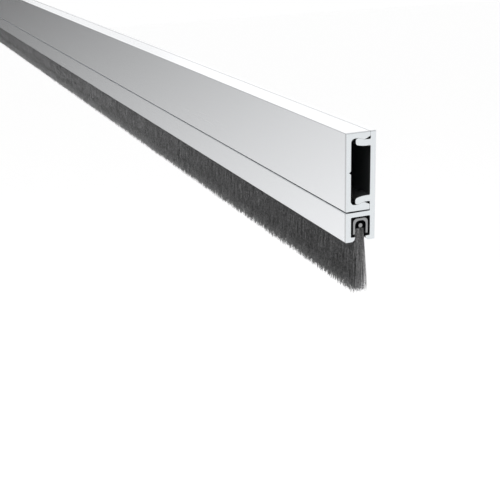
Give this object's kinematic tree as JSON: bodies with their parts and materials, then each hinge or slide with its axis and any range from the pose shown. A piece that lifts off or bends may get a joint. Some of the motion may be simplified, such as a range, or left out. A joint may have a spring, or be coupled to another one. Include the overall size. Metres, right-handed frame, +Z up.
{
  "type": "brush astragal",
  "caption": "Two-part aluminium door strip with concealed fixings and a brush seal along its lower edge.",
  "frame": {"origin": "on the back face that lies against the door, at mid-length, on the line of the fixing holes", "axes": "+X along the strip, +Y out of the back face into the door, +Z up, with the brush pointing down"},
  "size_m": [1, 0.01, 0.05],
  "materials": {
    "anodised_aluminium": "satin",
    "galvanised_steel": "dull",
    "steel_wire": "dull",
    "nylon_filament": "matt"
  },
  "bodies": {
    "root": {"base_profile": "anodised_aluminium", "cover_profile": "anodised_aluminium", "brush_channel": "galvanised_steel", "core_wire": "steel_wire", "brush_filaments": "nylon_filament"}
  },
  "joints": []
}
